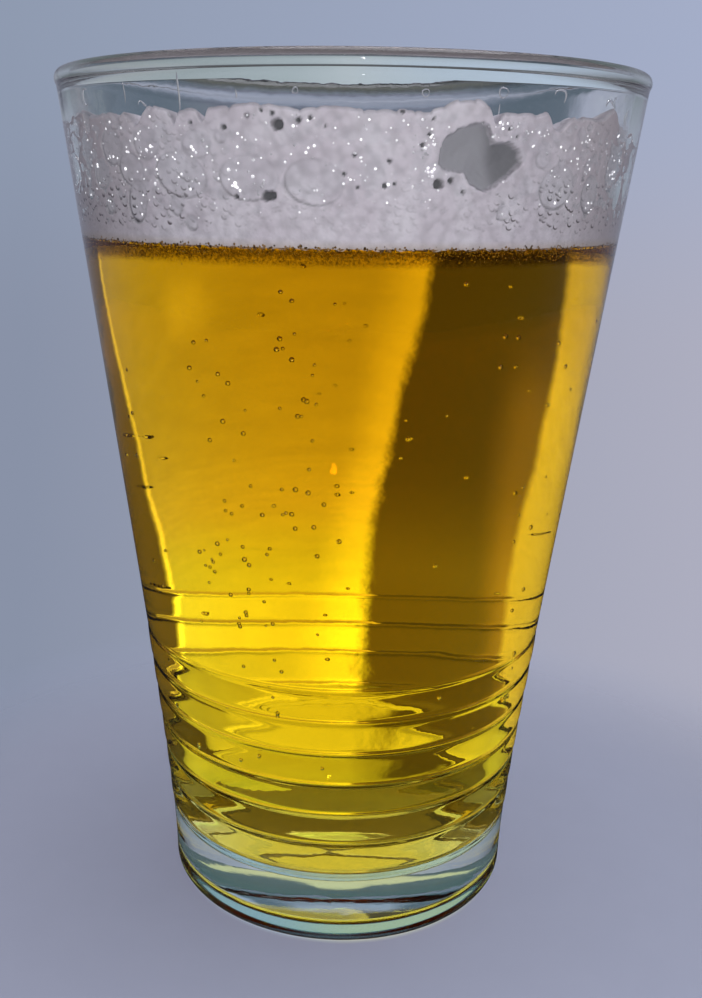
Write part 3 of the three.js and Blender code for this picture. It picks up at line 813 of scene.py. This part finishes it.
# Domes: the swollen bubbles that cover the top of the head
top_rng = np.random.default_rng(41)
count = 1500
a0 = top_rng.uniform(-math.pi, math.pi, count)
r0 = 39.5 * np.sqrt(top_rng.uniform(0, 1, count))
size = np.exp(top_rng.normal(math.log(0.46), 0.5, count)).clip(0.2, 1.9)
dome_x, dome_y = r0 * np.sin(a0), -r0 * np.cos(a0)
flat_x, flat_y, flat_z = top_x.ravel(), top_y.ravel(), top_z.ravel()
under = np.array([np.argmin((flat_x - u) ** 2 + (flat_y - v) ** 2) for u, v in zip(dome_x, dome_y)])
domes = spheres("foam_domes", np.stack([dome_x, dome_y, flat_z[under] - 0.5 * size], 1), size, 1, material=foam_material)
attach(domes, "root")

# Pearls: very small round bubbles against the wall, made to glow white: painted glints
phi = [rng.uniform(-62, 62) for _ in range(430)] + [rng.uniform(62, 298) for _ in range(380)]
height = [120.5 + 13.6 * rng.random() ** 0.62 for _ in phi]
size = list(np.exp(rng.normal(math.log(0.145), 0.33, len(phi))).clip(0.08, 0.34))
for p0, z0, w, h, _, _ in BIG:                      # clusters in the low part of the big ones
    if w < 1.5:
        continue
    for _ in range(rng.integers(2, 5)):
        phi.append(p0 + rng.uniform(-0.55, 0.6) * w / MM_PER_DEGREE)
        height.append(z0 - h * rng.uniform(0.15, 0.75))
        size.append(rng.uniform(0.13, 0.26))
for p0, z0, count in ((12.4, 130.2, 10), (13.4, 132.0, 8), (28.0, 133.2, 9), (47.5, 128.8, 7), (52.5, 130.2, 6), (-42.0, 122.4, 4), (12.8, 127.0, 8)):
    for _ in range(count):
        phi.append(p0 + rng.normal(0, 1.3))
        height.append(z0 + rng.normal(0, 0.8))
        size.append(rng.uniform(0.12, 0.24))
phi, height, size = np.radians(np.array(phi)), np.array(height), np.array(size)
order = np.argsort(angle)
keep = height < np.interp(turn_from(phi, 0.0), angle[order], edge[order]) - 0.25
for p0, z0, w, h, d, tone in HOLLOWS + [(20.0, 130.0, 3.9, 3.4, 0, 0), (26.5, 129.0, 4.2, 2.4, 0, 0), (24.0, 127.0, 2.4, 2.4, 0, 0)]:
    keep &= (turn_from(phi, math.radians(p0)) * WALL_R / w) ** 2 + ((height - z0) / h) ** 2 > 1.0
phi, height, size = phi[keep], height[keep], size[keep]
glowing_pearls = spheres("foam_glowing_pearls", on_wall(phi, height, size * 0.6), size, 1, material=glowing_pearl_material)
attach(glowing_pearls, "root")

# Traces of foam left on the bare wall over the head: rings of burst bubbles, hooks and runs, as thin ridges.
# degrees, height, radius, from and to (degrees round the ring), thickness
RINGS = [(25.6, 137.3, 0.62, 0, 360, 0.11), (37.6, 137.1, 1.05, -40, 165, 0.16), (52.4, 135.8, 1.5, 20, 150, 0.20),
         (-9.0, 137.0, 0.35, 0, 360, 0.09), (12.0, 136.9, 0.45, 0, 360, 0.09), (-55.4, 137.2, 1.1, 60, 300, 0.16),
         (150, 137.4, 0.9, 0, 270, 0.14), (-120, 136.9, 1.2, 30, 330, 0.15), (95, 137.6, 0.5, 0, 360, 0.1)]
RUNS = [(-29.9, 134.8, 139.6, 0.15), (-42.5, 136.0, 138.8, 0.10), (-19.0, 136.0, 137.2, 0.12), (60.5, 134.0, 136.5, 0.2), (140, 135, 139, 0.2)]
tube_v, tube_f = [], []


def add_tube(path, thick):
    """A thin ridge along a path of (radians, height) on the wall."""
    base = sum(len(v) for v in tube_v)
    path = np.asarray(path)
    n = len(path)
    taper = np.sin(np.linspace(0.06, math.pi - 0.06, n)) ** 0.5
    step = np.gradient(np.stack([path[:, 0] * WALL_R, path[:, 1]], 1), axis=0)
    step /= np.linalg.norm(step, axis=1)[:, None] + 1e-9
    across = np.stack([-step[:, 1], step[:, 0]], 1)
    around = np.linspace(0, 2 * math.pi, 9)[:-1]
    pts = []
    for q in around:
        off = across * (math.cos(q) * thick * taper[:, None])
        z = path[:, 1] + off[:, 1]
        a = path[:, 0] + off[:, 0] / WALL_R
        r = inner_radius(z) + 0.02 - thick * 0.7 * taper * (1 + math.sin(q))
        pts.append(np.stack([r * np.sin(a), -r * np.cos(a), z], 1))
    pts = np.stack(pts, 1)                      # n, 8, 3
    tube_v.append(pts.reshape(-1, 3))
    i, j = np.meshgrid(np.arange(n - 1), np.arange(8), indexing="ij")
    k = (j + 1) % 8
    tube_f.append(base + np.stack([i * 8 + j, i * 8 + k, (i + 1) * 8 + k, (i + 1) * 8 + j], -1).reshape(-1, 4))


for p0, z0, r0, q0, q1, thick in RINGS:
    q = np.radians(np.linspace(q0, q1, 26))
    wobble = 1 + 0.08 * np.sin(3 * q + p0)
    add_tube(np.stack([math.radians(p0) + r0 * wobble * np.cos(q) / WALL_R, z0 + r0 * wobble * np.sin(q)], 1), thick)
for p0, z0, z1, thick in RUNS:
    s = np.linspace(0, 1, 16)
    add_tube(np.stack([np.radians(p0 + 0.05 * np.sin(5 * s)), z0 + (z1 - z0) * s], 1), thick)
traces = mesh_object("wall_traces", np.concatenate(tube_v), np.concatenate(tube_f), material=trace_material)
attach(traces, "root")

# ---------------------------------------------------------------------------
# Stage: a plain pale floor that fades into a plain pale surround
# ---------------------------------------------------------------------------
def make_floor_material():
    mat, t = new_material("floor_paper")
    where = node(t, "ShaderNodeTexCoord").outputs["Object"]
    grain = node(t, "ShaderNodeTexNoise", {"Vector": where, "Scale": 90.0, "Detail": 5.0, "Roughness": 0.6}).outputs["Fac"]
    colour = mix_colour(t, grain, (0.51, 0.545, 0.67), (0.54, 0.575, 0.70))
    length = node(t, "ShaderNodeVectorMath", {0: where}, operation="LENGTH").outputs["Value"]
    x = node(t, "ShaderNodeSeparateXYZ", {0: where}).outputs[0]
    # painted light: the floor right under the glass glows, a painted pool of light as if gathered through the glass
    painted_caustic = mix_colour(t, map_range(t, x, -0.012, 0.005), (0.24, 0.33, 0.33), (0.42, 0.43, 0.16))
    p = node(t, "ShaderNodeBsdfPrincipled", {"Base Color": colour, "Roughness": 0.75, "Specular IOR Level": 0.15,
                                             "Emission Color": painted_caustic, "Emission Strength": map_range(t, length, 0.0305, 0.0285, 0.0, 0.8)})
    fade = map_range(t, length, 0.060, 0.125)
    clear = node(t, "ShaderNodeBsdfTransparent")
    mix = node(t, "ShaderNodeMixShader", {0: fade, 1: p.outputs[0], 2: clear.outputs[0]})
    node(t, "ShaderNodeOutputMaterial", {"Surface": mix.outputs[0]})
    return mat


a = np.arange(96) / 96 * 2 * math.pi
radii = np.array([0.0, 40, 80, 140, 220, 320, 450, 650, 900, 1350])
ring = np.stack([np.cos(a), np.sin(a)], 1)
verts = np.concatenate([[[0, 0, 0]], np.concatenate([np.c_[ring * r, np.zeros(96)] for r in radii[1:]])])
quads, tris = [], []
for i in range(len(radii) - 2):
    for j in range(96):
        k = (j + 1) % 96
        quads.append((1 + i * 96 + j, 1 + (i + 1) * 96 + j, 1 + (i + 1) * 96 + k, 1 + i * 96 + k))
for j in range(96):
    tris.append((0, 1 + j, 1 + (j + 1) % 96))
floor = mesh_object("floor", verts - np.array([0, 0, 0.02]), quads, tris, smooth=False, material=make_floor_material())
floor.visible_glossy = False

# A lit surround that only shows through clear glass and drink: the sheet of light behind a drink on a photographer's
# table, laid on the table and curved up behind. It is bright behind the drink with a soft-edged dark flag beside it, a
# painted shadow standing for the glass's own shadow on the wall behind, and dimmer and bluer above the level of the
# head.
CARD_RADIUS, CARD_HEIGHT = 600.0, 500.0


def make_card_material():
    mat, t = new_material("light_card")
    where = node(t, "ShaderNodeTexCoord").outputs["Object"]
    x, y, z = (node(t, "ShaderNodeSeparateXYZ", {0: where}).outputs[i] for i in range(3))
    degrees = maths(t, "MULTIPLY", maths(t, "ARCTAN2", x, y), 180 / math.pi)     # 0 straight behind, to the right positive
    radius = maths(t, "SQRT", maths(t, "MULTIPLY_ADD", x, x, maths(t, "MULTIPLY", y, y)))
    along = maths(t, "MULTIPLY", maths(t, "ADD", radius, z), 1000.0)              # mm out along the table, then up

    def line(start, *legs):
        """A broken line over the way along the card: legs are (from, to, rise)."""
        total = start
        for low, high, rise in legs:
            leg = map_range(t, along, low, high, 0.0, rise, smooth=False)
            total = maths(t, "ADD", leg, total)
        return total

    shadow_flag_start = line(-0.25, (85, 134, -0.5), (134, 310, -0.75), (310, 505, -0.9), (505, 640, -0.8), (640, 730, -1.2))
    near_start = line(3.0, (50, 57, -0.4), (57, 69, -1.6), (69, 77, -0.95))     # close by, the painted shadow flag lies on the other side
    near = map_range(t, along, 79.0, 75.0)
    distant = map_range(t, along, 830.0, 890.0)
    shadow_flag_end = line(-17.9, (149, 316, -1.9), (316, 620, -3.7), (700, 750, 1.8))
    left_end = line(18.8, (157, 315, 5.5), (315, 471, 4.0), (471, 631, 2.9), (631, 716, 5.2), (716, 765, 1.4))
    turned = maths(t, "ABSOLUTE", degrees)
    around_x, around_y = maths(t, "MULTIPLY", maths(t, "DIVIDE", x, radius), 12.6), maths(t, "MULTIPLY", maths(t, "DIVIDE", y, radius), 12.6)
    sway = node(t, "ShaderNodeTexNoise", {"Vector": where, "Scale": 9.0, "Detail": 1.0}).outputs["Fac"]
    sway = maths(t, "MULTIPLY_ADD", sway, 0.8, -0.4)
    swung = maths(t, "ADD", degrees, sway)

    def past(edge, width):
        """0 to the left of an edge, 1 to the right of it."""
        away = maths(t, "SUBTRACT", swung, edge)
        return map_range(t, away, -width, width)

    right_of_shadow_flag = past(shadow_flag_start, 0.45)
    lit = maths(t, "MULTIPLY", right_of_shadow_flag, maths(t, "SUBTRACT", 1.0, past(left_end, 1.2)))
    lit = mix_colour(t, near, lit, maths(t, "SUBTRACT", 1.0, past(near_start, 0.45)))
    lit = mix_colour(t, distant, lit, (1.0, 1.0, 1.0))
    strip = maths(t, "MULTIPLY", maths(t, "SUBTRACT", 1.0, past(shadow_flag_end, 1.6)), map_range(t, degrees, -59.0, -41.0, 0.5, 1.0))
    strip = maths(t, "MULTIPLY", strip, maths(t, "MULTIPLY", map_range(t, along, 660.0, 725.0, 1.05, 0.76), maths(t, "SUBTRACT", 1.0, distant)))
    level = ramp(t, maths(t, "DIVIDE", along, 800.0), [
        (0.045, 0.60), (0.0625, 0.52), (0.0725, 0.46), (0.0875, 0.76), (0.1125, 0.70), (0.13, 0.80), (0.168, 1.15), (0.20, 1.55),
        (0.225, 1.42), (0.27, 1.35), (0.33, 1.05),
        (0.46, 0.90), (0.70, 0.80), (0.76, 0.72), (0.80, 0.67), (0.91, 0.62), (0.98, 0.60)])
    # brighter along the painted shadow flag's edge, with one soft streak further over
    beside = maths(t, "SUBTRACT", swung, shadow_flag_start)
    glow = maths(t, "MULTIPLY", map_range(t, beside, 3.2, 0.4), 0.55)
    streak = maths(t, "MULTIPLY", maths(t, "MULTIPLY", map_range(t, degrees, 7.5, 11.5), map_range(t, degrees, 16.5, 12.5)),
                   maths(t, "MULTIPLY", map_range(t, along, 680.0, 700.0), map_range(t, along, 735.0, 712.0)))
    edge_line = maths(t, "MULTIPLY", map_range(t, maths(t, "ABSOLUTE", maths(t, "SUBTRACT", swung, maths(t, "ADD", left_end, -1.5))), 1.6, 0.2), 0.9)
    boost = maths(t, "ADD", maths(t, "MULTIPLY_ADD", streak, 0.30, glow), maths(t, "ADD", edge_line, 1.0))
    grain = node(t, "ShaderNodeTexNoise", {"Vector": node(t, "ShaderNodeCombineXYZ", {0: around_x, 1: around_y, 2: maths(t, "MULTIPLY", along, 0.09)}).outputs[0],
                                           "Scale": 1.0, "Detail": 3.0, "Roughness": 0.6}).outputs["Fac"]
    level = maths(t, "MULTIPLY", maths(t, "MULTIPLY", level, boost), maths(t, "MULTIPLY_ADD", grain, 0.36, 0.82))
    level = mix_colour(t, 1.0, level, mix_colour(t, map_range(t, along, 420.0, 240.0), (1.0, 1.0, 1.0), (0.93, 1.12, 0.7)), "MULTIPLY")
    level = mix_colour(t, distant, level, (0.90, 0.97, 0.85))
    dark = ramp(t, maths(t, "DIVIDE", along, 800.0), [
        (0.04, 0.12), (0.12, 0.12), (0.19, 0.20), (0.33, 0.24), (0.46, 0.17), (0.60, 0.13), (0.80, 0.11), (0.91, 0.105)])
    warm = maths(t, "MULTIPLY", map_range(t, swung, -10.5, -18.5), maths(t, "MULTIPLY", map_range(t, along, 700.0, 640.0), 1.0))
    dark = mix_colour(t, 1.0, dark, mix_colour(t, warm, (1.0, 1.0, 1.0), (2.5, 2.1, 2.0)), "MULTIPLY")
    far = mix_colour(t, map_range(t, degrees, 42.0, 78.0), (0.17, 0.16, 0.18), (0.36, 0.37, 0.45))
    left_dark = mix_colour(t, past(left_end, 1.2), dark, far)
    colour = mix_colour(t, lit, left_dark, level)
    colour = mix_colour(t, strip, colour, maths(t, "MULTIPLY_ADD", grain, 0.4, 0.85))
    front_side = map_range(t, turned, 95.0, 165.0)
    colour = mix_colour(t, front_side, colour, mix_colour(t, distant, (0.80, 0.80, 0.82), (0.90, 0.97, 0.85)))
    # light that has only crossed clear glass, and none of the drink, sees a dimmer, bluer wall further back, with a
    # dark middle painted as the glass's shadow on that wall
    high_grain = node(t, "ShaderNodeTexNoise", {"Vector": node(t, "ShaderNodeCombineXYZ", {0: maths(t, "MULTIPLY", around_x, 0.23), 1: maths(t, "MULTIPLY", around_y, 0.23), 2: maths(t, "MULTIPLY", along, 0.012)}).outputs[0],
                                                "Scale": 1.0, "Detail": 2.0}).outputs["Fac"]
    middle = maths(t, "MULTIPLY", map_range(t, degrees, -14.5, -8.5), map_range(t, degrees, 12.0, 6.0))
    bright = ramp(t, maths(t, "DIVIDE", along, 1200.0), [
        (0.0, (0.20, 0.22, 0.26)), (0.20, (0.36, 0.39, 0.48)), (0.34, (0.30, 0.33, 0.32)), (0.60, (0.19, 0.22, 0.27)),
        (0.655, (0.16, 0.175, 0.24)), (0.70, (0.25, 0.28, 0.37)), (0.85, (0.34, 0.37, 0.47))])
    bright = mix_colour(t, 1.0, bright, map_range(t, high_grain, 0.3, 0.7, 0.82, 1.15, smooth=False), "MULTIPLY")
    behind = mix_colour(t, middle, (0.105, 0.14, 0.185), bright)
    behind = mix_colour(t, map_range(t, degrees, 15.5, 18.5), behind, (0.40, 0.43, 0.55))
    behind = mix_colour(t, map_range(t, degrees, -23.0, -27.0), behind, (0.20, 0.195, 0.225))
    # and the solid base gathers light from close by, through its own colour
    wide = maths(t, "ABSOLUTE", degrees)
    patch = maths(t, "MULTIPLY", map_range(t, along, 37.5, 39.5), map_range(t, wide, 2.2, 1.2))
    patch = maths(t, "MULTIPLY", patch, map_range(t, along, 78.0, 66.0))
    foot = mix_colour(t, patch, (0.10, 0.138, 0.143), (0.60, 0.60, 0.33))
    foot = mix_colour(t, map_range(t, along, 90.0, 380.0), foot, (0.16, 0.21, 0.205))
    low_band = ramp(t, map_range(t, degrees, -30.0, 30.0, smooth=False), [
        (0.0, (0.32, 0.36, 0.43)), (0.183, (0.36, 0.40, 0.43)), (0.30, (0.32, 0.38, 0.41)), (0.433, (0.38, 0.45, 0.49)),
        (0.5, (0.46, 0.53, 0.58)), (0.6, (0.44, 0.53, 0.63)), (0.733, (0.46, 0.56, 0.69)), (0.90, (0.34, 0.39, 0.47)), (1.0, (0.32, 0.36, 0.43))])
    foot = mix_colour(t, map_range(t, along, 560.0, 740.0), foot, low_band)
    behind = mix_colour(t, front_side, behind, (0.36, 0.38, 0.47))
    behind = mix_colour(t, map_range(t, along, 130.0, 240.0), foot, behind)
    deep = node(t, "ShaderNodeLightPath").outputs["Transmission Depth"]
    through_drink = maths(t, "GREATER_THAN", deep, 4.5)
    through_walls = maths(t, "GREATER_THAN", deep, 2.5)
    colour = mix_colour(t, through_drink, mix_colour(t, through_walls, foot, behind), colour)
    shine = node(t, "ShaderNodeEmission", {"Color": colour, "Strength": 1.0})
    node(t, "ShaderNodeOutputMaterial", {"Surface": shine.outputs[0]})
    mat.cycles.emission_sampling = "NONE"
    return mat


card_line = [(33.0, 0.3), (60.0, 0.3), (95.0, 0.3), (200.0, 0.3), (400.0, 0.3), (CARD_RADIUS - 20, 0.3)]
card_line += [(CARD_RADIUS - 20 + 20 * math.sin(s), 20.3 - 20 * math.cos(s)) for s in np.linspace(0.2, math.pi / 2, 8)]
card_line += [(CARD_RADIUS, z) for z in np.linspace(40, CARD_HEIGHT, 12)]
card_line = np.array(card_line)
m = 180
a = np.arange(m) / m * 2 * math.pi
verts = np.stack([card_line[:, None, 0] * np.sin(a), -card_line[:, None, 0] * np.cos(a), np.repeat(card_line[:, 1:2], m, 1)], 2).reshape(-1, 3)
i, j = np.meshgrid(np.arange(len(card_line) - 1), np.arange(m), indexing="ij")
k = (j + 1) % m
quads = np.stack([i * m + j, i * m + k, (i + 1) * m + k, (i + 1) * m + j], -1).reshape(-1, 4)
card = mesh_object("light_card", verts, quads, material=make_card_material())
card.visible_camera = card.visible_diffuse = card.visible_glossy = card.visible_shadow = card.visible_volume_scatter = False
card.visible_transmission = True

# ---------------------------------------------------------------------------
# World and lamps: a pale surround for the eye, a dim room with a bright back for reflections
# ---------------------------------------------------------------------------
world = bpy.data.worlds.new("surround")
bpy.context.scene.world = world
world.use_nodes = True
t = world.node_tree
t.nodes.clear()
way = node(t, "ShaderNodeTexCoord").outputs["Generated"]
wx, wy, wz = (node(t, "ShaderNodeSeparateXYZ", {0: way}).outputs[i] for i in range(3))
side = map_range(t, wx, -0.27, 0.29, smooth=False)
wall = mix_colour(t, side, (0.25, 0.287, 0.386), (0.415, 0.42, 0.52))
upper = mix_colour(t, side, (0.275, 0.325, 0.435), (0.375, 0.425, 0.582))
table = mix_colour(t, side, (0.285, 0.305, 0.397), (0.312, 0.338, 0.447))
seen = mix_colour(t, map_range(t, wz, -0.15, 0.12), wall, upper)
seen = mix_colour(t, map_range(t, wz, -0.42, -0.66), seen, table)
meeting = map_range(t, maths(t, "ABSOLUTE", maths(t, "ADD", wz, 0.51)), 0.13, 0.0)      # dimmer where wall and table meet
meeting = maths(t, "SUBTRACT", 1.0, maths(t, "MULTIPLY", meeting, map_range(t, side, 0.0, 1.0, 0.22, 0.33)))
seen = mix_colour(t, 1.0, seen, meeting, "MULTIPLY")
path = node(t, "ShaderNodeLightPath")
mirrored = mix_colour(t, map_range(t, wy, -0.1, 0.5), (0.012, 0.013, 0.015), (0.26, 0.28, 0.36))
mirrored = mix_colour(t, map_range(t, wz, 0.35, 0.8), mirrored, (0.30, 0.31, 0.36))
mirrored = mix_colour(t, map_range(t, wz, 0.0, -0.35), mirrored, (0.012, 0.013, 0.015))
room = mix_colour(t, map_range(t, wz, -0.1, 0.7), (0.19, 0.189, 0.212), (0.26, 0.26, 0.31))
colour = mix_colour(t, path.outputs["Is Diffuse Ray"], seen, room)
colour = mix_colour(t, path.outputs["Is Glossy Ray"], colour, mirrored)
through = mix_colour(t, map_range(t, wz, 0.45, 0.75), (0.14, 0.155, 0.18), (0.085, 0.086, 0.082))
through = mix_colour(t, maths(t, "GREATER_THAN", path.outputs["Transmission Depth"], 4.5), through, (0.085, 0.08, 0.07))
colour = mix_colour(t, path.outputs["Is Transmission Ray"], colour, through)
background = node(t, "ShaderNodeBackground", {"Color": colour, "Strength": 1.0})
node(t, "ShaderNodeOutputWorld", {"Surface": background.outputs[0]})


def area_lamp(name, place, target, size, watts, colour=(1.0, 1.0, 1.0)):
    data = bpy.data.lights.new(name, "AREA")
    data.shape, data.size, data.energy, data.color = "DISK", size, watts, colour
    obj = bpy.data.objects.new(name, data)
    bpy.context.scene.collection.objects.link(obj)
    obj.location = place
    obj.rotation_mode = "QUATERNION"
    obj.rotation_quaternion = (Vector(target) - Vector(place)).to_track_quat("-Z", "Y")
    return obj


area_lamp("lamp_front", (0.016, -0.27, 0.129), (0.0, 0.0, 0.105), 0.009, 0.23, (1.0, 0.98, 0.97))
# scattered light takes no way through the clear pieces: it would cost most of the render's time
for piece in (glass, beer, gas, fizz, beads, traces):
    piece.visible_diffuse = False
area_lamp("lamp_over", (0.1, 0.05, 0.9), (0.0, 0.0, 0.0), 0.7, 2.6, (0.93, 0.94, 1.0))

# ---------------------------------------------------------------------------
# Picture settings
# ---------------------------------------------------------------------------
scene = bpy.context.scene
scene.view_settings.view_transform = "Standard"
scene.view_settings.look = "None"
scene.view_settings.exposure = 0.0
scene.view_settings.gamma = 1.0
cy = scene.cycles
cy.use_adaptive_sampling, cy.adaptive_threshold = True, 0.15
cy.use_denoising = True
cy.denoiser = "OPENIMAGEDENOISE"
cy.max_bounces, cy.transmission_bounces, cy.glossy_bounces, cy.diffuse_bounces = 13, 13, 8, 2
cy.transparent_max_bounces = 12
cy.sample_clamp_indirect = 12.0
cy.blur_glossy = 0.0
cy.caustics_refractive = cy.caustics_reflective = True
